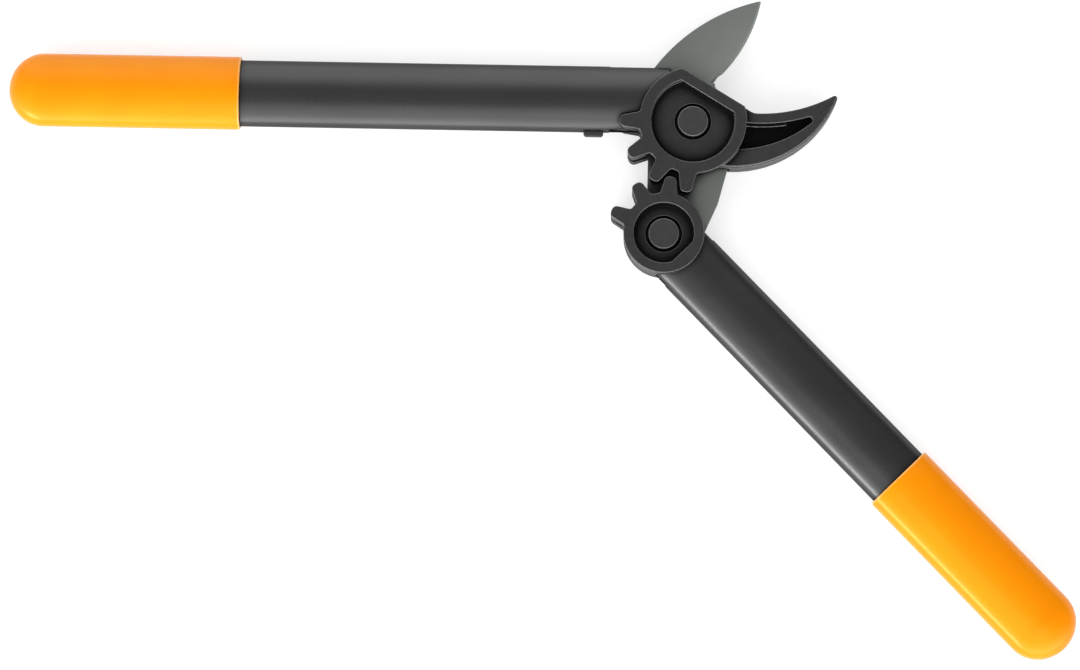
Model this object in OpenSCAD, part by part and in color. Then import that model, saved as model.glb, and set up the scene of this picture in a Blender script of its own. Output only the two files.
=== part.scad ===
// Geared anvil lopper, drawn fully open and lying on its back.
// The main pivot's axis is the Z axis, the upper handle runs along -X, and the tool rests on z = 0.
// Inside the modules z = 0 is the middle of the blade; on_back() lifts a piece onto the rest plane.

/* [Handle tubes] */
// Width of the oval tubes, measured in the plane of the blade
tube_w = 37.4; // [36:0.1:40]
// Thickness of the oval tubes
tube_t = 22.2; // [20:0.1:25]
// Wall of the tubes
tube_wall = 1.6; // [1:0.1:2.4]
// Distance from the main pivot to the upper tube's mouth
upper_tube_start = 46.5; // [46:0.5:48]
// Distance from the lower pivot to the lower tube's mouth
lower_tube_start = 26; // [25:0.5:32]
// Distance of the upper tube's axis from the main pivot
upper_axis_offset = 12.75; // [12.5:0.05:15]
// Distance of the lower tube's axis from the lower pivot
lower_axis_offset = 0.5; // [0:0.1:3]
// Angle of the lower handle below the upper handle's line when fully open
lower_handle_angle = 45; // [35:1:60]
// Length of each moulding's tang inside its tube
tang_len = 42; // [36:1:60]
// Gap between a tang and the inside of its tube
tang_play = 0.1; // [0.05:0.05:0.3]

/* [Hand grips] */
// Distance from the main pivot to the upper grip's mouth
upper_grip_mouth = 253; // [200:1:320]
// Distance from the lower pivot to the lower grip's mouth
lower_grip_mouth = 186.5; // [140:0.5:260]
// Length of a grip
grip_len = 130.3; // [110:0.1:150]
// Wall of a grip
grip_wall = 1.9; // [1.5:0.1:2.5]
// Length of a grip's rounded end
grip_nose = 19.5; // [14:0.5:24]
// Solid end of a grip beyond its tube
grip_end_t = 15; // [10:0.5:20]
// Rounding of a grip's mouth
grip_lip = 0.8; // [0.3:0.1:1.4]
// Gap between a grip and its tube
grip_play = 0.05; // [0.02:0.01:0.2]

/* [Gears] */
// Distance between the main pivot and the lower pivot
pivot_spacing = 65; // [64:0.5:68]
// Direction from the main pivot to the lower pivot when fully open
pivot_line_angle = 256.6; // [256:0.1:262]
// Turn of the lower gear for one turn of the blade
gear_ratio = 1.32; // [1.25:0.01:1.4]
// Angle between the anvil gear's teeth
tooth_pitch = 28; // [27:0.5:30]
// Number of teeth on the anvil gear
anvil_teeth = 4; // [3:1:4]
// Number of teeth on the lower gear
lower_teeth = 3; // [2:1:3]
// Angle from the line of the pivots to the tooth gap that is in mesh when fully open
mesh_lead = 5.4; // [4:0.1:7]
// Height of a tooth above the pitch circle
tooth_addendum = 3.5; // [3:0.1:3.8]
// Gap between the lower gear's tooth tips and the anvil gear's roots
anvil_root_gap = 3.7; // [1.5:0.1:4.2]
// Gap between the anvil gear's tooth tips and the lower gear's roots
lower_root_gap = 2.2; // [1.5:0.1:3]
// Width of a tooth on the pitch circle
tooth_w = 7.3; // [6.4:0.1:7.6]
// Slope of a tooth's flanks
tooth_flank = 10; // [6:1:14]
// Rounding of a tooth's tip
tooth_round = 2.9; // [1:0.1:3.2]
// Rounding of a tooth's foot
foot_round = 2; // [0.5:0.1:2.2]

/* [Anvil jaw] */
// Turn of the blade from fully open to fully closed
jaw_travel = 50.5; // [42:0.5:50.5]
// Radius of the anvil's hollow face, which the cutting edge follows
jaw_arc_r = 83.3; // [78:0.1:95]
// Distance along X from the main pivot to the lowest point of the anvil's face
jaw_arc_x = 37.2; // [35:0.1:40]
// Height of the anvil face's lowest point above the main pivot
jaw_arc_low = 5.1; // [4:0.1:7]
// Radius of the anvil's outer edge
anvil_arc_r = 62.3; // [60:0.1:65]
// Distance along X from the main pivot to the centre of the anvil's outer edge
anvil_arc_x = 22; // [20:0.1:24]
// Height of the centre of the anvil's outer edge above the main pivot
anvil_arc_y = 36.5; // [35:0.1:38]
// Rounding of the anvil's tip
anvil_tip_round = 1.6; // [0.8:0.1:2.5]
// Rounding between the anvil's face and the gear plates' flat side
face_round = 9; // [6:0.5:12]
// Where the anvil begins between the gear plates, from the main pivot
anvil_in = 10.5; // [8:0.5:12]
// Thickness of the anvil
anvil_t = 17; // [14:0.5:20]
// Bevel along the anvil's outer edge
anvil_bevel = 1; // [0.5:0.5:4]
// Thickness of the bar under the anvil's face
anvil_bar = 5.7; // [4:0.1:8]
// Depth of the pockets in the anvil's sides
pocket_depth = 6; // [3:0.5:7]
// Radius of the pockets' lower edge
pocket_r = 66.7; // [62:0.5:70]
// Distance along X from the main pivot to the centre of the pockets' lower edge
pocket_x = 23; // [21:0.5:25]
// Height of the centre of the pockets' lower edge above the main pivot
pocket_y = 51.5; // [49:0.5:54]
// Rounding of the pockets' outer end
pocket_round = 1.9; // [1:0.1:3]

/* [Gear plates] */
// Width of the rim around the anvil gear's recess
anvil_rim = 6.4; // [5:0.1:8]
// Distance from the main pivot to the flat side of the anvil gear
anvil_flat = 21.7; // [20:0.1:24]
// Direction of the flat side's normal
anvil_flat_angle = 59.2; // [55:0.1:62]
// Width of the rim along the flat side
anvil_flat_rim = 6; // [4:0.1:7]
// Width of the rim around the lower gear's recess
lower_rim = 5.6; // [4.5:0.1:7]
// Distance from the lower pivot to the flat side of its recess
lower_flat = 14.7; // [12:0.1:16]
// Depth of the recesses
recess_depth = 5.5; // [3:0.1:6]
// Width of the ledge around a recess's floor
ledge_w = 1.5; // [0.5:0.1:2.5]
// Height of the ledge above the floor
ledge_h = 1.2; // [0.5:0.1:2]
// Rounding of the corner where the anvil gear's flat side begins
flat_round = 3; // [1:0.5:5]
// Where the anvil jaw's neck begins, from the main pivot
upper_neck_in = 13; // [11:0.5:20]
// Where the lower gear's neck begins, from the lower pivot
lower_neck_in = 11; // [9:0.5:13]

/* [Blade] */
// Thickness of the blade
blade_t = 4.6; // [3.6:0.1:5.4]
// Radius of the blade's back
blade_back_r = 102; // [98:0.1:105]
// Along X, the centre of the blade's back with the jaws closed
blade_back_x = 15.6; // [13:0.1:18]
// Height of the blade's back above the main pivot with the jaws closed
blade_back_top = 36.7; // [35:0.1:38]
// Distance from the main pivot to the blade's blunt tip
blade_reach = 78.8; // [75:0.1:79]
// Width of the ground bevel along the cutting edge
blade_bevel = 1.2; // [0.8:0.1:3]
// Thickness left at the cutting edge
edge_land = 0.4; // [0.2:0.1:0.8]
// Gap between the closed blade and the anvil
jaw_gap = 0.3; // [0.2:0.1:0.6]
// Radius of the blade around the main pivot
blade_hub_r = 25.5; // [23:0.5:26]
// Radius of the blade's tang around the lower pivot
tang_hub_r = 20; // [18:0.1:20.3]
// Radius of the bulge between the blade's two pivots
web_r = 19.5; // [17:0.5:21]
// Along X, the centre of that bulge when fully open
web_x = -3.7; // [-6:0.1:0]
// Along Y, the centre of that bulge when fully open
web_y = -38.5; // [-44:0.5:-36]
// Distance that the blade's hub stays behind the anvil gear's flat side
hub_back = 0.5; // [0.3:0.1:1.5]
// Where the hub begins to stay behind, along the flat side from its middle
hub_corner = 1; // [0.5:0.1:2]
// Radius of the hollow at the heel of the cutting edge
heel_r = 5.9; // [5:0.1:6.5]
// Distance from the main pivot to the centre of that hollow, square to the flat side
heel_out = 28.5; // [28:0.1:29]
// Distance of the centre of that hollow along the flat side
heel_along = 3.8; // [3.5:0.1:4.5]
// Distance from the main pivot to the flat left side of the web
web_flat = 24.6; // [24:0.1:24.6]
// Direction of that side's normal when fully open
web_flat_angle = 180; // [178:1:182]
// Room around the blade in the mouldings
slot_gap = 1; // [0.6:0.1:1.4]

/* [Pivots] */
// Diameter of the pivot pins
pin_d = 12; // [10:0.5:13]
// Diameter of the pins' heads and nuts
pin_head_d = 17; // [15.5:0.5:18]
// Thickness of the pins' heads
pin_head_t = 3; // [2:0.1:4]
// Width of the groove around a head or nut
head_ring = 1.6; // [1:0.1:2]
// Depth of the groove below the recess
head_sink = 1.2; // [0.5:0.1:2]
// Distance that the lower nut stays behind the rest plane
lower_nut_back = 2; // [1:0.1:3]
// Wall of the bushes in the blade
bush_wall = 2; // [1.5:0.1:2.5]
// Running gap between a pin and its bush
pin_play = 0.05; // [0.02:0.01:0.09]
// Gap between a pin and the moulding that holds it
pin_seat_play = 0.02; // [0:0.01:0.05]
// Diameter of the thrust washers
washer_d = 24; // [22:0.5:26]
// Thickness of the thrust washers
washer_t = 0.65; // [0.4:0.05:1]
// Running gap between a thrust washer and the blade
washer_play = 0.05; // [0.03:0.01:0.1]

/* [Rivets and stop] */
// Diameter of the tube rivets
rivet_d = 4.8; // [4:0.1:6]
// Diameter of the rivets' heads
rivet_head_d = 9; // [7.5:0.1:10]
// Thickness of the rivets' heads
rivet_head_t = 1.2; // [0.8:0.1:1.6]
// Depth of a rivet below the tube's crown
rivet_len = 9; // [6:0.5:10]
// Distance from a tube's mouth to its first rivet
rivet_in = 12; // [9:0.5:14]
// Distance between a tube's two rivets
rivet_gap = 18; // [14:0.5:20]
// Distance from the main pivot to the middle of the stop bumper
bumper_x = 55.3; // [54:0.1:62]
// Length of the stop bumper along the tube
bumper_len = 11; // [8:0.5:13]
// Chamfer of the stop bumper's lower corners
bumper_chamfer = 1; // [0.5:0.1:1.5]
// Gap on each side of the stop bumper between the lower gear's plates
bumper_side_gap = 0.4; // [0.2:0.1:1]
// Gap between the stop bumper and the closed blade's tang
stop_gap = 0.3; // [0.2:0.1:0.6]
// Diameter of the bumper's peg
peg_d = 5; // [4:0.5:6]
// Length of the peg inside the tube
peg_in = 2.5; // [1:0.5:3]

/* [Hidden] */
$fn = 96;
fine = 240;
oval_sides = 64;
nose_steps = 12;
nose_turn = 84;
round_steps = 6;
far = 200;
bite = 0.5;
sink = 0.02;

// Colours
plastic = [0.23, 0.23, 0.23];
paint = [0.26, 0.26, 0.26];
orange = [0.99, 0.66, 0.03];
blade_steel = [0.46, 0.47, 0.45];
dark_steel = [0.3, 0.3, 0.3];
plain_steel = [0.55, 0.55, 0.55];
zinc = [0.75, 0.74, 0.7];
bronze = [0.7, 0.55, 0.3];
rubber = [0.16, 0.16, 0.16];

// Gear sizes
anvil_pitch_r = pivot_spacing * gear_ratio / (1 + gear_ratio);
lower_pitch_r = pivot_spacing - anvil_pitch_r;
anvil_plate_r = anvil_pitch_r - tooth_addendum - anvil_root_gap;
lower_plate_r = lower_pitch_r - tooth_addendum - lower_root_gap;
lower_pitch = tooth_pitch * gear_ratio;
anvil_gap_angle = pivot_line_angle - mesh_lead;
lower_first_tooth = pivot_line_angle - 180 + mesh_lead * gear_ratio + lower_handle_angle;

// Places
lower_pivot = pivot_spacing * [cos(pivot_line_angle), sin(pivot_line_angle)];
closed_line_angle = pivot_line_angle - jaw_travel;
closed_pivot_y = pivot_spacing * sin(closed_line_angle);
jaw_centre = [jaw_arc_x, jaw_arc_low + jaw_arc_r];
blade_back_y = blade_back_top - blade_back_r;
grip_w = tube_w + 2 * grip_wall;

// Heights from the middle of the blade
head_t = tube_t + 2 * grip_wall;
head_z = head_t / 2;
slot_half = blade_t / 2 + washer_t + washer_play;
recess_z = head_z - recess_depth;
seat_z = recess_z - head_sink;

// Fits
slot_r = blade_hub_r + slot_gap;
web_side = atan2(web_y, web_x) + acos((blade_hub_r - web_r) / norm([web_x, web_y]));
lower_slot_x = tang_hub_r + slot_gap;
bush_d = pin_d + 2 * pin_play + 2 * bush_wall;
tube_bottom = upper_axis_offset - tube_w / 2;
tang_top = closed_pivot_y + tang_hub_r;
bumper_low = tang_top + stop_gap;
bumper_w = 2 * (slot_half - bumper_side_gap);

// Frames: a handle runs along +X from its pivot

module on_back() {
    translate([0, 0, head_z]) children();
}

module upper_side() {
    rotate(180) children();
}

module lower_side() {
    translate(lower_pivot) rotate(-lower_handle_angle) children();
}

module both_faces() {
    children();
    mirror([0, 0, 1]) children();
}

module along_handle(from, to) {
    translate([from, 0, 0]) rotate([90, 0, 90]) linear_extrude(to - from) children();
}

// Outlines

function oval_points(w, t) = [
    for (i = [0 : oval_sides - 1])
        let (a = 360 * i / oval_sides) [w / 2 * cos(a), t / 2 * sin(a)]
];

module oval(w, t) {
    polygon(oval_points(w, t));
}

// A tooth points along +X from the gear's centre
function tooth_half(r, pitch_r) = tooth_w / 2 - (r - pitch_r) * tan(tooth_flank);

// From the tip's middle along one flank and the round at its foot to just inside the plate.
// A round sinks a little into what it meets, so that their faces cross cleanly.
function tooth_side(pitch_r, plate_r) =
    let (
        round_x = pitch_r + tooth_addendum - tooth_round,
        round_y = tooth_half(round_x, pitch_r) - tooth_round / cos(tooth_flank),
        sweep = 90 - tooth_flank,
        outward = [sin(tooth_flank), cos(tooth_flank)],
        along = [cos(tooth_flank), -sin(tooth_flank)],
        out = pitch_r * outward[0] + tooth_w / 2 * outward[1] + foot_round,
        foot = out * outward + sqrt(pow(plate_r - sink + foot_round, 2) - pow(out, 2)) * along,
        foot_angle = atan2(foot[1], foot[0]),
        foot_sweep = sweep - foot_angle
    )
    concat(
        [for (i = [0 : round_steps])
            let (a = sweep * i / round_steps)
            [round_x + tooth_round * cos(a), round_y + tooth_round * sin(a)]],
        [for (i = [0 : round_steps])
            let (a = 180 + sweep - foot_sweep * i / round_steps)
            foot + foot_round * [cos(a), sin(a)]],
        [(plate_r - bite) * [cos(foot_angle), sin(foot_angle)]]
    );

module tooth(pitch_r, plate_r) {
    side = tooth_side(pitch_r, plate_r);
    last = len(side) - 1;
    other = [for (i = [last : -1 : 0]) [side[i][0], -side[i][1]]];
    polygon(concat(side, other));
}

module beyond_flat(distance, angle) {
    rotate(angle) translate([distance, -far / 2]) square([far, far]);
}

// The corner's round touches the plate's edge and its flat side from inside
module flat_corner() {
    along = anvil_flat - flat_round;
    across = sqrt(pow(anvil_plate_r - flat_round, 2) - pow(along, 2));
    centre = [along, across];
    outward = centre / norm(centre);
    rotate(anvil_flat_angle) difference() {
        polygon([centre, centre + [far, 0], centre + far * outward]);
        translate(centre) circle(flat_round);
    }
}

module anvil_plate_outline() {
    difference() {
        circle(anvil_plate_r);
        beyond_flat(anvil_flat, anvil_flat_angle);
        flat_corner();
    }
    for (i = [0 : anvil_teeth - 1])
        rotate(anvil_gap_angle + tooth_pitch * (0.5 - i)) tooth(anvil_pitch_r, anvil_plate_r);
}

module anvil_recess_outline(inset) {
    difference() {
        circle(anvil_plate_r - anvil_rim - inset);
        beyond_flat(anvil_flat - anvil_flat_rim - inset, anvil_flat_angle);
    }
}

module lower_plate_outline() {
    circle(lower_plate_r);
    for (i = [0 : lower_teeth - 1])
        rotate(lower_first_tooth + lower_pitch * i) tooth(lower_pitch_r, lower_plate_r);
}

module lower_recess_outline(inset) {
    difference() {
        circle(lower_plate_r - lower_rim - inset);
        beyond_flat(lower_flat - inset, 0);
    }
}

// The jaws' shared curve and the anvil's pockets, in place when the jaws are closed
module jaw_disc(r) {
    translate(jaw_centre) circle(r, $fn = fine);
}

// A round between the anvil's face and the flat side; the gear plates' flat lies square to X here
module face_corner() {
    turn = [[cos(anvil_flat_angle), sin(anvil_flat_angle)], [-sin(anvil_flat_angle), cos(anvil_flat_angle)]];
    disc = turn * jaw_centre;
    centre_x = anvil_flat + face_round;
    centre_y = disc[1] - sqrt(pow(jaw_arc_r - face_round, 2) - pow(disc[0] - centre_x, 2));
    centre = [centre_x, centre_y];
    foot = disc + (centre - disc) * jaw_arc_r / (jaw_arc_r - face_round);
    rotate(anvil_flat_angle) difference() {
        polygon([
            centre, [anvil_flat, centre_y], [anvil_flat, centre_y / 2],
            [anvil_flat - anvil_flat_rim, centre_y / 2], foot + anvil_bar / 2 * (foot - centre) / face_round, foot
        ]);
        translate(centre) circle(face_round + sink, $fn = fine);
    }
}

// Cuts the thin end that lies inside one disc and outside another back to a round
module blunt_end(inside, inside_r, outside, outside_r, round_r) {
    r = inside_r - round_r;
    step = outside - inside;
    d = norm(step);
    along = (pow(r, 2) - pow(outside_r + round_r, 2) + pow(d, 2)) / (2 * d);
    across = sqrt(pow(r, 2) - pow(along, 2));
    centre = inside + (along * step + across * [step[1], -step[0]]) / d;
    first = (centre - inside) / norm(centre - inside);
    second = (outside - centre) / norm(outside - centre);
    difference() {
        polygon([
            centre, centre + far * first, centre + far * (first + second), centre + far * second
        ]);
        translate(centre) circle(round_r + sink);
    }
}

module pocket_outline() {
    difference() {
        intersection() {
            translate([pocket_x, pocket_y]) circle(pocket_r, $fn = fine);
            translate([0, -far / 2]) square([far, far]);
        }
        jaw_disc(jaw_arc_r + anvil_bar);
        blunt_end([pocket_x, pocket_y], pocket_r, jaw_centre, jaw_arc_r + anvil_bar, pocket_round);
    }
}

// Shapes that both handles share

module gear_plates() {
    both_faces() translate([0, 0, slot_half]) linear_extrude(head_z - slot_half) children();
}

module recess_cut(z) {
    both_faces() translate([0, 0, z]) linear_extrude(far) children();
}

module pivot_cuts() {
    cylinder(d = pin_d + 2 * pin_seat_play, h = far, center = true);
    both_faces() translate([0, 0, seat_z]) cylinder(d = pin_head_d + 2 * head_ring, h = far);
}

module neck(from, tube_start, offset, slot_x) {
    translate([0, -offset, 0]) {
        difference() {
            along_handle(from, tube_start) oval(tube_w, tube_t);
            translate([0, -far / 2, -slot_half]) cube([slot_x, far, 2 * slot_half]);
        }
        along_handle(tube_start, tube_start + tang_len)
            oval(tube_w - 2 * tube_wall - 2 * tang_play, tube_t - 2 * tube_wall - 2 * tang_play);
    }
}

module rivet_places(tube_start, offset) {
    for (i = [0, 1])
        translate([tube_start + rivet_in + rivet_gap * i, -offset, -tube_t / 2]) children();
}

module rivet_cuts(tube_start, offset) {
    rivet_places(tube_start, offset)
        translate([0, 0, -bite]) cylinder(d = rivet_d, h = rivet_len + bite);
}

module rivets(tube_start, offset) {
    rivet_places(tube_start, offset) {
        cylinder(d = rivet_d, h = rivet_len);
        translate([0, 0, -rivet_head_t]) cylinder(d = rivet_head_d, h = rivet_head_t);
    }
}

module tube(from, mouth, offset) {
    to = mouth + grip_len - grip_end_t;
    difference() {
        translate([0, -offset, 0]) along_handle(from, to) difference() {
            oval(tube_w, tube_t);
            oval(tube_w - 2 * tube_wall, tube_t - 2 * tube_wall);
        }
        rivet_cuts(from, offset);
    }
}

// Each ring of a grip is [distance from its mouth, share of its full section]
function grip_rings() =
    let (body = grip_len - grip_nose)
    concat(
        [[0, 1 - 2 * grip_lip / grip_w], [grip_lip, 1]],
        [for (i = [0 : nose_steps])
            let (a = nose_turn * i / nose_steps)
            [body + grip_nose * sin(a) / sin(nose_turn), cos(a)]]
    );

module grip_body() {
    rings = grip_rings();
    section = oval_points(grip_w, head_t);
    n = oval_sides;
    last = len(rings) - 1;
    points = [for (ring = rings) for (p = section) [ring[0], p[0] * ring[1], p[1] * ring[1]]];
    sides = [
        for (k = [0 : last - 1]) for (i = [0 : n - 1])
            let (a = k * n + i, b = k * n + (i + 1) % n)
            each [[a, a + n, b], [b, a + n, b + n]]
    ];
    caps = [[for (i = [0 : n - 1]) i], [for (i = [n - 1 : -1 : 0]) last * n + i]];
    polyhedron(points, concat(sides, caps));
}

module grip(mouth, offset) {
    bore_end = mouth + grip_len - grip_end_t + grip_play;
    translate([0, -offset, 0]) difference() {
        translate([mouth, 0, 0]) grip_body();
        along_handle(mouth - bite, bore_end) oval(tube_w + 2 * grip_play, tube_t + 2 * grip_play);
    }
}

module pivot_pin(rear_z) {
    translate([0, 0, -rear_z]) cylinder(d = pin_d, h = rear_z + seat_z);
    translate([0, 0, seat_z]) cylinder(d = pin_head_d, h = pin_head_t);
}

module pivot_nut(rear_z) {
    translate([0, 0, -rear_z]) difference() {
        cylinder(d = pin_head_d, h = rear_z - seat_z);
        cylinder(d = pin_d + 2 * pin_seat_play, h = far, center = true);
    }
}

module thrust_washer() {
    translate([0, 0, slot_half - washer_t]) difference() {
        cylinder(d = washer_d, h = washer_t);
        cylinder(d = pin_d + 2 * pin_seat_play, h = far, center = true);
    }
}

module bush() {
    difference() {
        cylinder(d = bush_d, h = blade_t, center = true);
        cylinder(d = pin_d + 2 * pin_play, h = far, center = true);
    }
}

// Fixed body

module anvil_hook() {
    half = anvil_t / 2;
    profile = [
        [0, -half], [anvil_arc_r - anvil_bevel, -half], [anvil_arc_r, anvil_bevel - half],
        [anvil_arc_r, half - anvil_bevel], [anvil_arc_r - anvil_bevel, half], [0, half]
    ];
    difference() {
        intersection() {
            translate([anvil_arc_x, anvil_arc_y]) rotate_extrude($fn = fine) polygon(profile);
            translate([anvil_in, -far / 2, -half]) cube([far, far, anvil_t]);
        }
        translate([0, 0, -far / 2]) linear_extrude(far) {
            jaw_disc(jaw_arc_r);
            blunt_end([anvil_arc_x, anvil_arc_y], anvil_arc_r, jaw_centre, jaw_arc_r, anvil_tip_round);
        }
        both_faces() translate([0, 0, half - pocket_depth]) linear_extrude(far) pocket_outline();
        hook_slot();
    }
}

// The blade's hub and web turn inside this slot at the root of the anvil
module hook_slot() {
    translate([0, 0, -slot_half]) linear_extrude(2 * slot_half) {
        circle(slot_r);
        rotate(web_side) translate([-far, -far]) square([far + slot_r, far]);
    }
}

module anvil_jaw() {
    color(plastic) difference() {
        union() {
            gear_plates() anvil_plate_outline();
            anvil_hook();
            both_faces() translate([0, 0, slot_half]) linear_extrude(anvil_t / 2 - slot_half) face_corner();
            upper_side() neck(upper_neck_in, upper_tube_start, upper_axis_offset, upper_tube_start);
        }
        recess_cut(recess_z + ledge_h) anvil_recess_outline(0);
        recess_cut(recess_z) anvil_recess_outline(ledge_w);
        pivot_cuts();
        bumper_peg();
        upper_side() rivet_cuts(upper_tube_start, upper_axis_offset);
    }
}

module upper_tube() {
    color(paint) difference() {
        upper_side() tube(upper_tube_start, upper_grip_mouth, upper_axis_offset);
        bumper_peg();
    }
}

module upper_grip() {
    color(orange) upper_side() grip(upper_grip_mouth, upper_axis_offset);
}

module upper_tube_rivets() {
    color(plain_steel) upper_side() rivets(upper_tube_start, upper_axis_offset);
}

module bumper_peg() {
    translate([-bumper_x, bumper_low, 0]) rotate([-90, 0, 0])
        cylinder(d = peg_d, h = tube_bottom + tube_wall + peg_in - bumper_low);
}

module bumper_outline() {
    half = bumper_len / 2;
    polygon([
        [-half, tube_w / 2], [-half, bumper_chamfer], [bumper_chamfer - half, 0],
        [half - bumper_chamfer, 0], [half, bumper_chamfer], [half, tube_w / 2]
    ]);
}

module stop_bumper() {
    color(rubber) {
        difference() {
            translate([-bumper_x, bumper_low, -bumper_w / 2])
                linear_extrude(bumper_w) bumper_outline();
            upper_side() translate([0, -upper_axis_offset, 0])
                along_handle(0, bumper_x + far) oval(tube_w, tube_t);
        }
        bumper_peg();
    }
}

module main_pivot_pin() {
    color(dark_steel) pivot_pin(head_z);
}

module main_pivot_nut() {
    color(dark_steel) pivot_nut(head_z);
}

module main_washer_front() {
    color(zinc) thrust_washer();
}

module main_washer_rear() {
    color(zinc) mirror([0, 0, 1]) thrust_washer();
}

// Blade body

// The cutting edge is the rim of a double cone that the anvil's face follows
module edge_cone() {
    r = jaw_arc_r - jaw_gap;
    slope_h = blade_t / 2 - edge_land / 2;
    profile = [
        [0, -blade_t / 2], [r - blade_bevel, -blade_t / 2], [r, slope_h - blade_t / 2],
        [r, blade_t / 2 - slope_h], [r - blade_bevel, blade_t / 2], [0, blade_t / 2]
    ];
    translate(jaw_centre) rotate_extrude($fn = fine) polygon(profile);
}

module blade_leaf() {
    intersection() {
        edge_cone();
        translate([blade_back_x, blade_back_y])
            cylinder(r = blade_back_r, h = blade_t, center = true, $fn = fine);
        cylinder(r = blade_reach, h = blade_t, center = true, $fn = fine);
    }
}

// Beyond its flat side the web stays below the tang's top when the jaws are closed
module blade_web_outline() {
    difference() {
        hull() {
            circle(blade_hub_r);
            translate([web_x, web_y]) circle(web_r);
            translate(lower_pivot) circle(tang_hub_r);
        }
        intersection() {
            rotate(jaw_travel) translate([-far, tang_top]) square([far, far]);
            beyond_flat(web_flat, web_flat_angle);
        }
        rotate(anvil_flat_angle) translate([anvil_flat - hub_back, -far]) square([far, far - hub_corner]);
    }
}

module blade() {
    color(blade_steel) difference() {
        union() {
            rotate(jaw_travel) blade_leaf();
            translate([0, 0, -blade_t / 2]) linear_extrude(blade_t) blade_web_outline();
        }
        cylinder(d = bush_d, h = far, center = true);
        translate(lower_pivot) cylinder(d = bush_d, h = far, center = true);
        rotate(anvil_flat_angle) translate([heel_out, -heel_along, 0])
            cylinder(r = heel_r, h = far, center = true);
    }
}

module main_bush() {
    color(bronze) bush();
}

module lower_bush() {
    color(bronze) translate(lower_pivot) bush();
}

// Lower handle body

module lower_gear() {
    color(plastic) lower_side() difference() {
        union() {
            gear_plates() lower_plate_outline();
            neck(lower_neck_in, lower_tube_start, lower_axis_offset, lower_slot_x);
        }
        recess_cut(recess_z + ledge_h) lower_recess_outline(0);
        recess_cut(recess_z) lower_recess_outline(ledge_w);
        pivot_cuts();
        rivet_cuts(lower_tube_start, lower_axis_offset);
    }
}

module lower_tube() {
    color(paint) lower_side()
        tube(lower_tube_start, lower_grip_mouth, lower_axis_offset);
}

module lower_grip() {
    color(orange) lower_side() grip(lower_grip_mouth, lower_axis_offset);
}

module lower_tube_rivets() {
    color(plain_steel) lower_side() rivets(lower_tube_start, lower_axis_offset);
}

module lower_pivot_pin() {
    color(dark_steel) translate(lower_pivot) pivot_pin(head_z - lower_nut_back);
}

module lower_pivot_nut() {
    color(dark_steel) translate(lower_pivot) pivot_nut(head_z - lower_nut_back);
}

module lower_washer_front() {
    color(zinc) translate(lower_pivot) thrust_washer();
}

module lower_washer_rear() {
    color(zinc) translate(lower_pivot) mirror([0, 0, 1]) thrust_washer();
}

on_back() anvil_jaw();
on_back() upper_tube();
on_back() upper_grip();
on_back() upper_tube_rivets();
on_back() stop_bumper();
on_back() main_pivot_pin();
on_back() main_pivot_nut();
on_back() main_washer_front();
on_back() main_washer_rear();
on_back() blade();
on_back() main_bush();
on_back() lower_bush();
on_back() lower_gear();
on_back() lower_tube();
on_back() lower_grip();
on_back() lower_tube_rivets();
on_back() lower_pivot_pin();
on_back() lower_pivot_nut();
on_back() lower_washer_front();
on_back() lower_washer_rear();
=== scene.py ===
# Geared anvil lopper lying on its back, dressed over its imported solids. All lengths are in metres.
from math import cos, degrees, radians, sin

import bmesh
import bpy
from mathutils import Matrix, Vector


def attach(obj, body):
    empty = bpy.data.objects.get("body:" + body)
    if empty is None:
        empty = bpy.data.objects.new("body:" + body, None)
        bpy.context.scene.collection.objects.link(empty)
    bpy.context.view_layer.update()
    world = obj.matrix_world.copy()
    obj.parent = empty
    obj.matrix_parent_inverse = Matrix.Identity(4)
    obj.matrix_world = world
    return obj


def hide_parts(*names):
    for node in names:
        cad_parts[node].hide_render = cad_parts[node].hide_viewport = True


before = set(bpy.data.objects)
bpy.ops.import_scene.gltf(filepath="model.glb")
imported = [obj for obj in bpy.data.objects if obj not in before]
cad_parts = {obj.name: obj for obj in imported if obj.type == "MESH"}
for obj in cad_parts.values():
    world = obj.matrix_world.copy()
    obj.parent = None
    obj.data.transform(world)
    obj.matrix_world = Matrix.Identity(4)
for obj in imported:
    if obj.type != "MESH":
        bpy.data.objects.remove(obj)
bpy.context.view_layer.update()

MM = 0.001

# The two pivots and the two handles, as in the part's source
PIVOT_SPACING = 65 * MM
PIVOT_LINE = radians(256.6)
MAIN_PIVOT = Vector((0, 0, 0))
LOWER_PIVOT = Vector((PIVOT_SPACING * cos(PIVOT_LINE), PIVOT_SPACING * sin(PIVOT_LINE), 0))
UPPER_TURN = radians(180)
LOWER_TURN = radians(-45)
BLADE_TURN = radians(-60)
MIDDLE_Z = 13 * MM
UPPER_OFFSET = 12.75 * MM
LOWER_OFFSET = 0.5 * MM

# Places along a handle from its pivot: where the neck shows, where the tube starts, where the grip starts
UPPER_NECK = 13 * MM
LOWER_NECK = 11 * MM
UPPER_TUBE_MOUTH = 46.5 * MM
LOWER_TUBE_MOUTH = 26 * MM
UPPER_GRIP_MOUTH = 253 * MM
LOWER_GRIP_MOUTH = 186.5 * MM

TUBE_W = 37.4 * MM
TUBE_T = 22.2 * MM

# Hollows in the mouldings: the gear plates' recesses and the anvil's pockets
MAIN_RECESS_R = 23 * MM
LOWER_RECESS_R = 17 * MM
RECESS_DEPTH = 5.5 * MM
HOOK_DEPTH = 4.5 * MM
JAW_CENTRE = Vector((37.2, 88.4, 0)) * MM
POCKET_CENTRE = Vector((23, 51.5, 0)) * MM
POCKET_R = 66.8 * MM
BAR_R = 88.9 * MM

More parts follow.
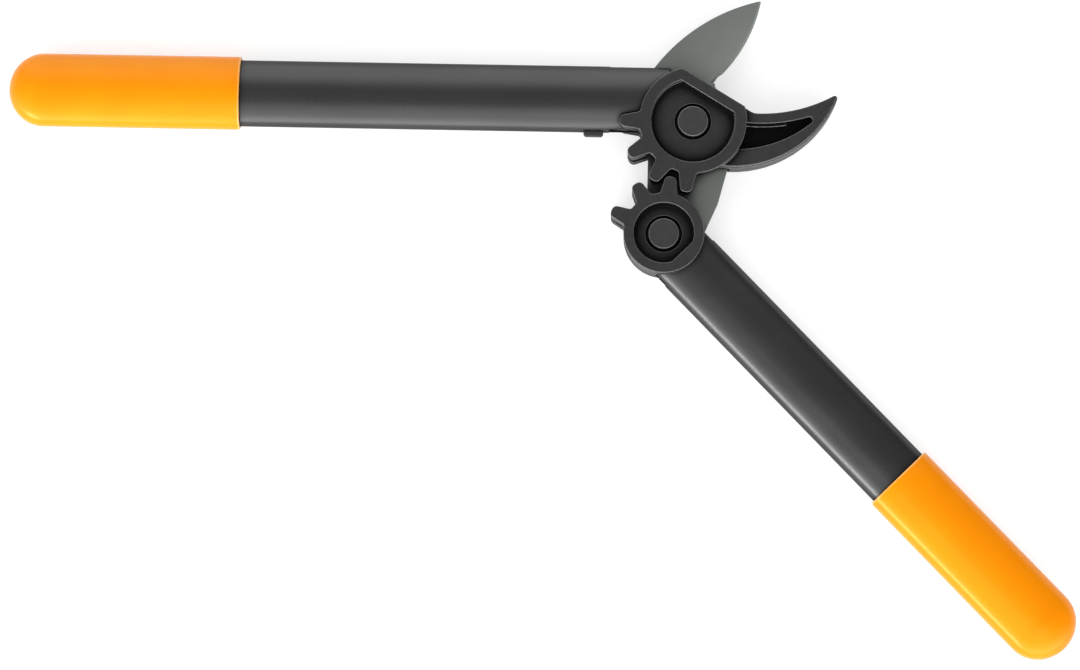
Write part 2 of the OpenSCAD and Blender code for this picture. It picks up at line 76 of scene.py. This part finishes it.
# A wall closes part of the lower gear's slot, and a ledge runs along each pocket. Arcs are in degrees
WALL_R = (20.8 * MM, 22.2 * MM)
WALL_Z = (MIDDLE_Z - 3.1 * MM, MIDDLE_Z + 3.1 * MM)
WALL_ARC = (214, 264)
WALL_EDGE = 0.15 * MM
LEDGE_R = (BAR_R - 0.3 * MM, BAR_R + 1.9 * MM)
FRONT_LEDGE_Z = (15.3 * MM, 19.3 * MM)
REAR_LEDGE_Z = (2 * MIDDLE_Z - 19.3 * MM, 2 * MIDDLE_Z - 15.3 * MM)
LEDGE_ARC = (-96, -80.5)
LEDGE_EDGE = 0.45 * MM
BAR_STEPS = 24

# Hand grip
GRIP_LEN = 130.3 * MM
GRIP_NOSE = 19.5 * MM
GRIP_W = 41.2 * MM
GRIP_T = 26 * MM
GRIP_BORE_W = 37.5 * MM
GRIP_BORE_T = 22.3 * MM
GRIP_BORE_LEN = 115 * MM
GRIP_LIP = 0.9 * MM
GRIP_FLARE = 0.9 * MM
GRIP_SIDES = 96
LIP_STEPS = 4
BODY_STEPS = 12
NOSE_STEPS = 24
NOSE_TURN = radians(88.5)

# Welding and rounding of the copied solids
WELD = 0.08 * MM
SLIGHT = 0.01 * MM
SAME_FACE = radians(0.4)
BUTT_REACH = 0.05 * MM
NECK_FIT = 0.03
LIP_FIT = 0.9
MOULDING_EDGE = 0.4 * MM
TUBE_EDGE = 0.25 * MM
EDGE_REACH = 0.45 * MM
EDGE_STEPS = 3

# Material slots of a dressed piece: plain, and edges painted paler as a highlight
PLAIN, HIGHLIT_EDGE_SLOT = 0, 1

# Floor and light
FLOOR_SIZE = 12
FLOOR_TONE = 0.55
FLOOR_GLOW = 0.62
ROOF = 0.5
DARK_ROOF = 0.15
FRONT_WALL = 4.6
BACK_WALL = 1.75
MIDDLE = (-0.08, -0.1, 0)
LOWER_GRIP_MIDDLE = (0.12, -0.2, 0)

# Camera, fitted to the outline of the object
LENS = 120.66
SENSOR_W = 36
FAR_LIMIT = 20
EYE_PLACE = Vector((-0.0294582, -0.3347525, 2.0097976))
EYE_RIGHT = Vector((0.99946795, 0.02180966, -0.0242518))
EYE_UP = Vector((-0.01908652, 0.99403871, 0.10734402))
EYE_BACK = Vector((0.02644836, -0.10682403, 0.99392611))


# Workshop helpers

def clear_selection():
    if bpy.context.object and bpy.context.object.mode != "OBJECT":
        bpy.ops.object.mode_set(mode="OBJECT")
    bpy.ops.object.select_all(action="DESELECT")


def take(piece):
    clear_selection()
    piece.select_set(True)
    bpy.context.view_layer.objects.active = piece


def apply_modifier(piece, kind, **settings):
    take(piece)
    modifier = piece.modifiers.new(kind.lower(), kind)
    for key, value in settings.items():
        setattr(modifier, key, value)
    bpy.ops.object.modifier_apply(modifier=modifier.name)


def smooth(piece, sharp):
    take(piece)
    bpy.ops.object.shade_smooth_by_angle(angle=radians(sharp))


def new_piece(name):
    """Names the primitive just added and keeps the turn it was added with in its mesh."""
    piece = bpy.context.object
    piece.name = piece.data.name = name
    bpy.ops.object.transform_apply(location=False, rotation=True, scale=False)
    return piece


def set_in_place(piece, turn, at):
    """Turns a piece about its own upright axis, moves it and keeps its place in its mesh."""
    take(piece)
    piece.rotation_euler = (0, 0, turn)
    piece.location = at
    bpy.ops.object.transform_apply(location=True, rotation=True, scale=True)


def along_handle(pivot, turn):
    """From the part's frame to a frame with its X along a handle from its pivot."""
    return Matrix.Rotation(-turn, 4, "Z") @ Matrix.Translation(-pivot)


def add_finish(piece, finish):
    piece.data.materials.append(finish)
    return len(piece.data.materials) - 1


def finish_piece(piece, body):
    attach(piece, body)


def within(point, centre, radius):
    return (point.xy - centre.xy).length < radius


# Pieces that start as copies of solids

def copied_solid(node, name):
    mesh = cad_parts[node].data.copy()
    piece = bpy.data.objects.new(name, mesh)
    bpy.context.scene.collection.objects.link(piece)
    take(piece)
    bpy.ops.object.mode_set(mode="EDIT")
    bpy.ops.mesh.select_all(action="SELECT")
    bpy.ops.mesh.remove_doubles(threshold=WELD)
    bpy.ops.mesh.dissolve_limited(angle_limit=SAME_FACE)
    bpy.ops.object.mode_set(mode="OBJECT")
    piece.data.materials.clear()
    return piece


def softened_solid(node, name, edge, finish, edge_highlight=None, sharp=30, butt=None):
    """Copies a solid and rounds its sharp edges, except where it butts flush against its neighbour."""
    piece = copied_solid(node, name)
    add_finish(piece, finish)
    add_finish(piece, edge_highlight or finish)
    bpy.ops.object.mode_set(mode="EDIT")
    bpy.ops.mesh.select_mode(type="EDGE")
    bpy.ops.mesh.select_all(action="DESELECT")
    bpy.ops.mesh.edges_select_sharp(sharpness=radians(sharp))
    if butt:
        to_handle, mouth = butt
        mesh = bmesh.from_edit_mesh(piece.data)
        for line in mesh.edges:
            if all(abs((to_handle @ v.co).x - mouth) < BUTT_REACH for v in line.verts):
                line.select = False
        mesh.select_flush_mode()
        bmesh.update_edit_mesh(piece.data)
    # The rounded edges take the second finish, painted paler as a highlight where a pale edge finish is
    # given.
    bpy.ops.mesh.bevel(
        offset=edge, segments=EDGE_STEPS, affect="EDGES", clamp_overlap=False, miter_outer="ARC",
        material=HIGHLIT_EDGE_SLOT)
    bpy.ops.object.mode_set(mode="OBJECT")
    smooth(piece, sharp)
    apply_modifier(piece, "WEIGHTED_NORMAL", weight=100, keep_sharp=True)
    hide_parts(node)
    return piece


def paint_neck(piece, pivot, turn, offset, start, paint):
    """Gives the moulding's neck, which runs flush with its tube, the tube's paint."""
    painted = add_finish(piece, paint)
    to_handle = along_handle(pivot, turn)
    for face in piece.data.polygons:
        at = to_handle @ face.center
        oval = ((at.y + offset) / (TUBE_W / 2)) ** 2 + ((at.z - MIDDLE_Z) / (TUBE_T / 2)) ** 2
        if at.x > start and abs(oval - 1) < NECK_FIT:
            face.material_index = painted


def shade_hollows(piece, hollow_shade, in_hollow, outer_depths):
    """Gives the sides of hollows a painted-shade finish, and keeps the paler edge finish, a painted
    highlight, on outer edges only.
    """
    shaded = add_finish(piece, hollow_shade)
    for face in piece.data.polygons:
        depth = MIDDLE_Z - abs(face.center.z - MIDDLE_Z)
        if in_hollow(face.center, depth):
            face.material_index = shaded
        elif face.material_index == HIGHLIT_EDGE_SLOT and all(abs(depth - d) > EDGE_REACH for d in outer_depths):
            face.material_index = PLAIN


def on_recess_side(depth):
    return EDGE_REACH < depth < RECESS_DEPTH - SLIGHT


def in_jaw_hollow(point, depth):
    if within(point, MAIN_PIVOT, MAIN_RECESS_R):
        return on_recess_side(depth)
    in_pocket = within(point, POCKET_CENTRE, POCKET_R) and not within(point, JAW_CENTRE, BAR_R)
    return in_pocket and point.x > MAIN_PIVOT.x and depth > HOOK_DEPTH + EDGE_REACH


def in_gear_hollow(point, depth):
    return within(point, LOWER_PIVOT, LOWER_RECESS_R) and on_recess_side(depth)


# Pieces drawn anew

def hand_grip(name, pivot, turn, offset, mouth, finish, lip):
    """A rounded oval sleeve, drawn from its bore outwards over the lip and along to its nose."""
    clear_selection()
    bpy.ops.mesh.primitive_circle_add(
        vertices=GRIP_SIDES, radius=0.5, fill_type="NGON", rotation=(0, radians(90), 0))
    piece = new_piece(name)
    bpy.ops.object.mode_set(mode="EDIT")
    bpy.ops.mesh.select_mode(type="VERT")
    bpy.ops.mesh.select_all(action="SELECT")

    def ring(x, width, thick):
        """Sets the selected ring at x with this oval size."""
        here = [v for v in bmesh.from_edit_mesh(piece.data).verts if v.select]
        at = here[0].co.x
        now_w = max(v.co.y for v in here) * 2
        now_t = max(v.co.z for v in here) * 2
        bpy.ops.transform.translate(value=(x - at, 0, 0))
        bpy.ops.transform.resize(
            value=(1, width / now_w, thick / now_t), center_override=(x, 0, 0))

    def next_ring(x, width, thick):
        bpy.ops.mesh.extrude_region_move(TRANSFORM_OT_translate={"value": (0, 0, 0)})
        ring(x, width, thick)

    body_start = mouth + GRIP_LIP
    body_end = mouth + GRIP_LEN - GRIP_NOSE
    ring(mouth + GRIP_BORE_LEN, GRIP_BORE_W, GRIP_BORE_T)
    next_ring(body_start, GRIP_BORE_W, GRIP_BORE_T)
    next_ring(mouth + GRIP_LIP / 4, GRIP_BORE_W + GRIP_FLARE / 3, GRIP_BORE_T + GRIP_FLARE / 3)
    next_ring(mouth, GRIP_BORE_W + GRIP_FLARE, GRIP_BORE_T + GRIP_FLARE)
    next_ring(mouth, GRIP_W - 2 * GRIP_LIP, GRIP_T - 2 * GRIP_LIP)
    for step in range(1, LIP_STEPS + 1):
        a = radians(90) * step / LIP_STEPS
        shrink = 2 * GRIP_LIP * (1 - sin(a))
        next_ring(mouth + GRIP_LIP * (1 - cos(a)), GRIP_W - shrink, GRIP_T - shrink)
    for step in range(1, BODY_STEPS + 1):
        next_ring(body_start + (body_end - body_start) * step / BODY_STEPS, GRIP_W, GRIP_T)
    for step in range(1, NOSE_STEPS + 1):
        a = NOSE_TURN * step / NOSE_STEPS
        next_ring(body_end + GRIP_NOSE * sin(a), GRIP_W * cos(a), GRIP_T * cos(a))
    bpy.ops.mesh.merge(type="CENTER")
    bpy.ops.mesh.select_all(action="SELECT")
    bpy.ops.mesh.normals_make_consistent(inside=False)
    bpy.ops.object.mode_set(mode="OBJECT")
    add_finish(piece, finish)
    # The lip's rounded edge takes the paler finish: a painted highlight.
    edge_highlight = add_finish(piece, lip)
    for face in piece.data.polygons:
        at = face.center
        oval = (at.y / (GRIP_W / 2)) ** 2 + (at.z / (GRIP_T / 2)) ** 2
        if mouth < at.x < body_start and oval > LIP_FIT:
            face.material_index = edge_highlight
    side = Vector((sin(turn), -cos(turn), 0)) * offset
    set_in_place(piece, turn, pivot + side + Vector((0, 0, MIDDLE_Z)))
    smooth(piece, 40)
    return piece


def curved_bar(name, centre, reach, heights, arc, edge, finish, edge_highlight):
    """Spins an upright rectangle about an upright axis into a curved bar with rounded edges."""
    inner, outer = reach
    low, high = heights
    start, end = (radians(a) for a in arc)
    clear_selection()
    bpy.ops.mesh.primitive_plane_add(size=1, rotation=(radians(90), 0, 0))
    piece = new_piece(name)
    add_finish(piece, finish)
    add_finish(piece, edge_highlight)
    bpy.ops.object.mode_set(mode="EDIT")
    bpy.ops.mesh.select_all(action="SELECT")
    bpy.ops.transform.resize(value=(outer - inner, 1, high - low), center_override=(0, 0, 0))
    bpy.ops.transform.translate(value=((inner + outer) / 2, 0, (low + high) / 2))
    bpy.ops.mesh.spin(steps=BAR_STEPS, angle=start - end, center=(0, 0, 0), axis=(0, 0, 1))
    bpy.ops.mesh.select_all(action="SELECT")
    bpy.ops.mesh.remove_doubles(threshold=SLIGHT)
    bpy.ops.mesh.normals_make_consistent(inside=False)
    bpy.ops.mesh.select_mode(type="EDGE")
    bpy.ops.mesh.select_all(action="DESELECT")
    bpy.ops.mesh.edges_select_sharp(sharpness=radians(30))
    bpy.ops.mesh.bevel(offset=edge, segments=EDGE_STEPS, affect="EDGES", material=HIGHLIT_EDGE_SLOT)
    bpy.ops.object.mode_set(mode="OBJECT")
    set_in_place(piece, start, centre)
    smooth(piece, 30)
    return piece


# Materials

def grey(level):
    return (level, level, level)


class NodeBench:
    """A node tree and the sums that finishes and light share."""

    def __init__(self, tree):
        self.nodes = tree.nodes
        self.links = tree.links

    def feed(self, socket, value):
        if isinstance(value, bpy.types.NodeSocket):
            self.links.new(value, socket)
        else:
            socket.default_value = value

    def sums(self, kind, operation, first, second):
        node = self.nodes.new(kind)
        node.operation = operation
        self.feed(node.inputs[0], first)
        self.feed(node.inputs[1], second)
        return node

    def dot(self, first, second):
        return self.sums("ShaderNodeVectorMath", "DOT_PRODUCT", first, second).outputs["Value"]

    def maths(self, operation, first, second):
        return self.sums("ShaderNodeMath", operation, first, second).outputs["Value"]

    def spread(self, value, low, high, out_low, out_high, easing="LINEAR"):
        node = self.nodes.new("ShaderNodeMapRange")
        node.interpolation_type = easing
        for key, number in (
            ("Value", value), ("From Min", low), ("From Max", high),
            ("To Min", out_low), ("To Max", out_high),
        ):
            self.feed(node.inputs[key], number)
        return node.outputs["Result"]


class Finish(NodeBench):
    """A material with one surface shader and patterns on Object coordinates."""

    def __init__(self, name, **sockets):
        self.material = bpy.data.materials.new(name)
        self.material.use_nodes = True
        super().__init__(self.material.node_tree)
        self.shader = self.nodes["Principled BSDF"]
        self.place = self.nodes.new("ShaderNodeTexCoord").outputs["Object"]
        for key, value in sockets.items():
            self.shader.inputs[key.replace("_", " ")].default_value = value

    def mapped(self, scale=(1, 1, 1), turn=0.0, location=(0, 0, 0)):
        node = self.nodes.new("ShaderNodeMapping")
        node.vector_type = "POINT"
        node.inputs["Location"].default_value = location
        node.inputs["Rotation"].default_value = (0, 0, turn)
        node.inputs["Scale"].default_value = scale
        self.links.new(self.place, node.inputs["Vector"])
        return node.outputs["Vector"]

    def noise(self, scale, detail, rough, vector=None):
        node = self.nodes.new("ShaderNodeTexNoise")
        node.inputs["Scale"].default_value = scale
        node.inputs["Detail"].default_value = detail
        node.inputs["Roughness"].default_value = rough
        self.links.new(vector or self.place, node.inputs["Vector"])
        return node.outputs["Fac"]

    def vary(self, noise, low, high):
        """Spreads a noise, which seldom leaves 0.3 to 0.7, from low to high."""
        return self.spread(noise, 0.3, 0.7, low, high)

    def mix(self, factor, first, second):
        node = self.nodes.new("ShaderNodeMix")
        node.data_type = "RGBA"
        self.links.new(factor, node.inputs[0])
        for socket, colour in ((node.inputs[6], first), (node.inputs[7], second)):
            self.feed(socket, (*colour, 1) if isinstance(colour, tuple) else colour)
        return node.outputs[2]

    def mottled(self, noise, dark, pale):
        return self.mix(self.vary(noise, 0, 1), dark, pale)

    def along(self, direction):
        """How far a point lies along a direction."""
        return self.dot(self.place, direction)

    def edges(self, radius):
        """A mask that is 1 along worn edges: where rounded and true normals part."""
        rounded = self.nodes.new("ShaderNodeBevel")
        rounded.samples = 6
        rounded.inputs["Radius"].default_value = radius
        true = self.nodes.new("ShaderNodeNewGeometry")
        return self.spread(self.dot(rounded.outputs["Normal"], true.outputs["Normal"]), 1, 0.75, 0, 1)

    def corner_shade(self, reach, low, high):
        """A painted-shade mask from ambient occlusion: 1 in corners, gaps and pockets, where light is
        blocked.
        """
        node = self.nodes.new("ShaderNodeAmbientOcclusion")
        node.samples = 8
        node.inputs["Distance"].default_value = reach
        return self.spread(node.outputs["AO"], high, low, 0, 1)

    def bump(self, height, strength, distance, after=None):
        node = self.nodes.new("ShaderNodeBump")
        node.inputs["Strength"].default_value = strength
        node.inputs["Distance"].default_value = distance
        self.links.new(height, node.inputs["Height"])
        if after:
            self.links.new(after, node.inputs["Normal"])
        return node.outputs["Normal"]

    def surface(self, colour, roughness, normal=None, gloss=None):
        for key, value in (
            ("Base Color", colour), ("Roughness", roughness), ("Normal", normal),
            ("Specular IOR Level", gloss),
        ):
            if value is not None:
                self.links.new(value, self.shader.inputs[key])
        return self.material


def moulded_plastic():
    """Glass-filled charcoal plastic: fine spark-eroded grain, faint flow mottling, and painted shade that
    darkens corners and pockets and dims their gloss.
    """
    f = Finish("moulded_charcoal")
    flow = f.noise(260, 4, 0.6)
    grain = f.noise(3800, 2, 0.6)
    # Painted shade: corners and pockets are darkened to near black and lose their gloss.
    shade_mask = f.corner_shade(10 * MM, 0.58, 0.94)
    with_painted_shade = f.mix(shade_mask, f.mottled(flow, grey(0.016), grey(0.023)), grey(0.001))
    gloss = f.spread(shade_mask, 0, 1, 0.38, 0.03)
    normal = f.bump(flow, 0.1, 0.2 * MM, f.bump(grain, 0.22, 0.06 * MM))
    return f.surface(with_painted_shade, f.vary(grain, 0.42, 0.56), normal, gloss)


def hollow_shade_plastic():
    """The mouldings' plastic on the sides of their hollows, matt and near black: painted shade in place
    of the shadow on those walls.
    """
    f = Finish("hollow_painted_shade", Specular_IOR_Level=0.08)
    mottle = f.noise(420, 3, 0.6)
    base = f.mottled(mottle, grey(0.0015), grey(0.004))
    return f.surface(base, f.vary(mottle, 0.55, 0.75), f.bump(mottle, 0.1, 0.05 * MM))


def worn_edge_highlight(name, dark, pale, metallic=0.0):
    """The same piece's finish on its edges, paler and glossier: partly handling wear and partly a painted
    highlight.
    """
    f = Finish(name, Specular_IOR_Level=1.0, Metallic=metallic)
    edge_mottle = f.noise(500, 3, 0.6)
    return f.surface(f.mottled(edge_mottle, dark, pale), f.vary(edge_mottle, 0.22, 0.34))


def tube_paint(turn):
    """Satin charcoal powder coat with a metal flake and a slight orange peel, with painted shadow where
    the grip and other parts close over it.
    """
    f = Finish(
        "charcoal_tube_paint_%d" % round(degrees(turn)), Metallic=0.82, Specular_Tint=(*grey(0.5), 1))
    peel = f.noise(850, 2, 0.4)
    speck = f.noise(5200, 1, 0.5)
    drift = f.noise(45, 2, 0.5, f.mapped((0.3, 1, 1), turn))
    base = f.mottled(drift, (0.058, 0.058, 0.0585), (0.068, 0.068, 0.0685))
    # Painted shadow: near black where the grip's mouth and other parts close over the tube.
    with_painted_shadow = f.mix(f.corner_shade(4 * MM, 0.5, 0.95), base, grey(0.002))
    normal = f.bump(peel, 0.10, 0.10 * MM, f.bump(speck, 0.08, 0.03 * MM))
    return f.surface(with_painted_shadow, f.vary(speck, 0.26, 0.33), normal)


def grip_plastic():
    """Orange moulded plastic with a satin skin, with painted shadow where it meets its tube."""
    f = Finish("orange_grip", Specular_IOR_Level=0.5, Specular_Tint=(1, 0.75, 0.25, 1))
    cloud = f.noise(55, 3, 0.5)
    grain = f.noise(2600, 2, 0.55)
    base = f.mottled(cloud, (0.97, 0.268, 0.0003), (0.99, 0.288, 0.0005))
    # Painted shadow: darkened where the grip closes round its tube.
    with_painted_shadow = f.mix(f.corner_shade(1.5 * MM, 0.4, 0.75), base, (0.06, 0.010, 0.001))
    return f.surface(with_painted_shadow, f.vary(grain, 0.20, 0.28), f.bump(grain, 0.10, 0.05 * MM))


def blade_steel(turn):
    """Grey coated steel with faint grinding lines and a darker worn edge, with painted shade towards its
    tip, back and tang and between the gear teeth.
    """
    f = Finish("ground_blade_steel", Metallic=0.5, Specular_IOR_Level=0.5)
    lines = f.noise(60, 3, 0.65, f.mapped((0.6, 34, 4), turn))
    cloud = f.noise(70, 3, 0.5)
    up_blade = f.along((0, 1, 0))
    across_blade = f.along((0.82, -0.57, 0))
    clean = f.mottled(cloud, (0.225, 0.244, 0.225), (0.260, 0.280, 0.258))
    # Painted shade: the blade is darkened towards its tip, its back and its tang.
    tip = f.mix(f.spread(up_blade, 34 * MM, 64 * MM, 0, 1), clean, (0.190, 0.204, 0.190))
    back = f.mix(f.spread(across_blade, -36 * MM, -4 * MM, 0, 1), (0.170, 0.184, 0.172), tip)
    tang = f.mix(f.spread(up_blade, -40 * MM, -12 * MM, 0, 1), (0.180, 0.194, 0.180), back)
    worn = f.mix(f.edges(0.35 * MM), tang, (0.10, 0.105, 0.10))
    # Painted shade: near black in the gaps between the gear teeth.
    with_painted_shade = f.mix(f.corner_shade(12 * MM, 0.3, 0.62), worn, grey(0.004))
    return f.surface(with_painted_shade, f.vary(lines, 0.36, 0.5), f.bump(lines, 0.05, 0.04 * MM))


def blackened_steel(name, pivot):
    """Blackened pin steel with fine turning rings about the pivot, and painted shade in the ring round
    its head.
    """
    f = Finish("blackened_pin_" + name, Metallic=0.3, Specular_IOR_Level=0.5)
    wave = f.nodes.new("ShaderNodeTexWave")
    wave.wave_type = "RINGS"
    wave.rings_direction = "Z"
    wave.inputs["Scale"].default_value = 420
    wave.inputs["Distortion"].default_value = 0.4
    f.links.new(f.mapped(location=-pivot), wave.inputs["Vector"])
    rings = wave.outputs["Fac"]
    cloud = f.noise(300, 3, 0.6)
    base = f.mottled(cloud, (0.036, 0.036, 0.0365), grey(0.045))
    # Painted shade: near black in the ring round the pin head.
    with_painted_shade = f.mix(f.corner_shade(5 * MM, 0.35, 0.7), base, grey(0.002))
    return f.surface(with_painted_shade, f.spread(rings, 0, 1, 0.36, 0.46), f.bump(rings, 0.08, 0.03 * MM))


def plain_metal(name, colour, low, high):
    """Small fittings: washers, bushes and rivets, lightly mottled and scratched."""
    f = Finish(name, Metallic=0.9)
    cloud = f.noise(500, 4, 0.6)
    base = f.mottled(cloud, tuple(0.75 * c for c in colour), colour)
    return f.surface(base, f.vary(cloud, low, high), f.bump(cloud, 0.1, 0.03 * MM))


def bumper_rubber():
    """Black rubber with a dusty bloom."""
    f = Finish("bumper_rubber", Specular_IOR_Level=0.35)
    bloom = f.noise(900, 4, 0.6)
    base = f.mix(f.spread(bloom, 0.3, 0.75, 0, 1), grey(0.022), (0.045, 0.045, 0.044))
    return f.surface(base, f.vary(bloom, 0.6, 0.8), f.bump(bloom, 0.15, 0.05 * MM))


plastic = moulded_plastic()
# Paler edge finishes: partly wear and partly a painted highlight.
plastic_edge_highlight = worn_edge_highlight("charcoal_edge_highlight", grey(0.040), grey(0.060))
# Near-black finish for the sides of hollows and the pocket ledges: painted shade.
hollow_shade = hollow_shade_plastic()
orange = grip_plastic()
# The grip's lip is painted paler orange as a highlight.
grip_lip_highlight = worn_edge_highlight("orange_lip_highlight", (0.98, 0.40, 0.05), (1.0, 0.46, 0.08))
upper_paint = tube_paint(UPPER_TURN)
lower_paint = tube_paint(LOWER_TURN)
steel = blade_steel(BLADE_TURN)
main_black = blackened_steel("main", MAIN_PIVOT)
lower_black = blackened_steel("lower", LOWER_PIVOT)
# The pin heads' edges are painted paler as a highlight.
pin_edge_highlight = worn_edge_highlight("pin_steel_edge_highlight", grey(0.13), grey(0.19), 0.5)
washer_zinc = plain_metal("washer_zinc", (0.5, 0.49, 0.46), 0.3, 0.45)
bush_bronze = plain_metal("bush_bronze", (0.42, 0.26, 0.10), 0.3, 0.45)
rivet_metal = plain_metal("rivet_metal", (0.38, 0.38, 0.39), 0.32, 0.48)
rubber = bumper_rubber()


# The lopper

upper_butt = (along_handle(MAIN_PIVOT, UPPER_TURN), UPPER_TUBE_MOUTH)
lower_butt = (along_handle(LOWER_PIVOT, LOWER_TURN), LOWER_TUBE_MOUTH)

jaw = softened_solid(
    "anvil_jaw", "anvil_jaw_moulding", MOULDING_EDGE, plastic, plastic_edge_highlight, butt=upper_butt)
finish_piece(jaw, "upper_handle")
paint_neck(jaw, MAIN_PIVOT, UPPER_TURN, UPPER_OFFSET, UPPER_NECK, upper_paint)
shade_hollows(jaw, hollow_shade, in_jaw_hollow, (0, RECESS_DEPTH, HOOK_DEPTH))
gear = softened_solid(
    "lower_gear", "lower_gear_moulding", MOULDING_EDGE, plastic, plastic_edge_highlight, butt=lower_butt)
finish_piece(gear, "lower_handle")
paint_neck(gear, LOWER_PIVOT, LOWER_TURN, LOWER_OFFSET, LOWER_NECK, lower_paint)
shade_hollows(gear, hollow_shade, in_gear_hollow, (0, RECESS_DEPTH))

upper_tube = softened_solid(
    "upper_tube", "upper_painted_tube", TUBE_EDGE, upper_paint, sharp=40, butt=upper_butt)
finish_piece(upper_tube, "upper_handle")
lower_tube = softened_solid(
    "lower_tube", "lower_painted_tube", TUBE_EDGE, lower_paint, sharp=40, butt=lower_butt)
finish_piece(lower_tube, "lower_handle")

back_wall = curved_bar(
    "gear_back_wall", LOWER_PIVOT, WALL_R, WALL_Z, WALL_ARC, WALL_EDGE, plastic, plastic)
finish_piece(back_wall, "lower_handle")
# The pocket ledges take the near-black painted-shade finish, and their edges the paler painted-highlight
# finish.
for name, heights in (("front_pocket_ledge", FRONT_LEDGE_Z), ("rear_pocket_ledge", REAR_LEDGE_Z)):
    ledge = curved_bar(name, JAW_CENTRE, LEDGE_R, heights, LEDGE_ARC, LEDGE_EDGE, hollow_shade, plastic_edge_highlight)
    finish_piece(ledge, "upper_handle")

for node, name, edge, sharp, body, slot, finish, edge_highlight in (
    ("blade", "ground_blade", 0.12, 20, "blade", "blade_steel", steel, steel),
    ("stop_bumper", "rubber_stop", 0.5, 30, "upper_handle", "bumper", rubber, rubber),
    ("main_pivot_pin", "main_pin", 0.5, 30, "upper_handle", "pin", main_black, pin_edge_highlight),
    ("main_pivot_nut", "main_nut", 0.4, 30, "upper_handle", "pin", main_black, pin_edge_highlight),
    ("lower_pivot_pin", "lower_pin", 0.5, 30, "lower_handle", "pin", lower_black, pin_edge_highlight),
    ("lower_pivot_nut", "lower_nut", 0.4, 30, "lower_handle", "pin", lower_black, pin_edge_highlight),
    ("upper_tube_rivets", "upper_rivets", 0.5, 30, "upper_handle", "rivet", rivet_metal, rivet_metal),
    ("lower_tube_rivets", "lower_rivets", 0.5, 30, "lower_handle", "rivet", rivet_metal, rivet_metal),
):
    finish_piece(softened_solid(node, name, edge * MM, finish, edge_highlight, sharp), body)

upper_grip = hand_grip(
    "upper_hand_grip", MAIN_PIVOT, UPPER_TURN, UPPER_OFFSET, UPPER_GRIP_MOUTH, orange, grip_lip_highlight)
finish_piece(upper_grip, "upper_handle")
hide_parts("upper_grip")
lower_grip = hand_grip(
    "lower_hand_grip", LOWER_PIVOT, LOWER_TURN, LOWER_OFFSET, LOWER_GRIP_MOUTH, orange, grip_lip_highlight)
finish_piece(lower_grip, "lower_handle")
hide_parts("lower_grip")

for node, material in (
    ("main_washer_front", washer_zinc), ("main_washer_rear", washer_zinc),
    ("lower_washer_front", washer_zinc), ("lower_washer_rear", washer_zinc),
    ("main_bush", bush_bronze), ("lower_bush", bush_bronze),
):
    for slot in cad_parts[node].material_slots:
        slot.material = material


# Floor, light and camera

def pale_floor():
    """A matt floor that shows as white, also in reflections, and keeps the object's shadow."""
    clear_selection()
    bpy.ops.mesh.primitive_plane_add(size=FLOOR_SIZE)
    floor = bpy.context.object
    floor.name = "floor"
    f = Finish(
        "pale_floor", Base_Color=(*grey(FLOOR_TONE), 1), Roughness=1.0, Specular_IOR_Level=0.0,
        Emission_Color=(1, 1, 1, 1))
    path = f.nodes.new("ShaderNodeLightPath")
    seen = f.maths("MAXIMUM", path.outputs["Is Camera Ray"], path.outputs["Is Glossy Ray"])
    seen = f.maths("MAXIMUM", seen, path.outputs["Is Transmission Ray"])
    f.links.new(f.maths("MULTIPLY", seen, FLOOR_GLOW), f.shader.inputs["Emission Strength"])
    floor.data.materials.append(f.material)


def room_light():
    """A pale room with a dim roof and bright front and back walls, dark at the upper right."""
    world = bpy.data.worlds.new("studio")
    bpy.context.scene.world = world
    world.use_nodes = True
    room = NodeBench(world.node_tree)
    facing = room.nodes.new("ShaderNodeTexCoord").outputs["Generated"]

    def glow(direction, low, high, away, towards):
        """Light that eases from away to towards as a ray turns to face a direction."""
        return room.spread(room.dot(facing, direction), low, high, away, towards, "SMOOTHSTEP")

    up = room.maths("MAXIMUM", room.dot(facing, (0, 0, 1)), 0.0)
    level = room.maths("SUBTRACT", 1.0, up)
    front = room.maths("MULTIPLY", level, glow((0, -1, 0), -0.1, 0.95, 0.0, FRONT_WALL))
    back = glow((-0.12, 0.885, 0.45), 0.70, 0.97, 0.0, BACK_WALL)
    roof = glow((0.71, 0.71, 0), -0.25, 0.8, ROOF, DARK_ROOF)
    sky = room.nodes["Background"]
    sky.inputs["Color"].default_value = (1, 1, 1, 1)
    light = room.maths("ADD", room.maths("ADD", front, back), roof)
    room.links.new(light, sky.inputs["Strength"])


def soft_box(name, at, aim, size, power):
    lamp = bpy.data.lights.new(name, "AREA")
    lamp.shape = "RECTANGLE"
    lamp.size, lamp.size_y = size
    lamp.energy = power
    box = bpy.data.objects.new(name, lamp)
    bpy.context.scene.collection.objects.link(box)
    box.location = at
    box.rotation_euler = (Vector(aim) - Vector(at)).to_track_quat("-Z", "Y").to_euler()
    box.visible_camera = False


def camera():
    lens = bpy.data.cameras.new("photo_camera")
    lens.lens = LENS
    lens.sensor_width = SENSOR_W
    lens.sensor_fit = "HORIZONTAL"
    lens.clip_end = FAR_LIMIT
    eye = bpy.data.objects.new("photo_camera", lens)
    bpy.context.scene.collection.objects.link(eye)
    turn = Matrix((EYE_RIGHT, EYE_UP, EYE_BACK)).transposed().to_4x4()
    eye.matrix_world = Matrix.Translation(EYE_PLACE) @ turn
    bpy.context.scene.camera = eye


pale_floor()
room_light()
soft_box("left_strip", (-1.15, -1.4, 0.33), MIDDLE, (0.85, 0.25), 9)
soft_box("front_panel", (0.1, -0.9, 1.5), LOWER_GRIP_MIDDLE, (1.3, 0.8), 3.4)
camera()
bpy.context.scene.view_settings.view_transform = "Standard"
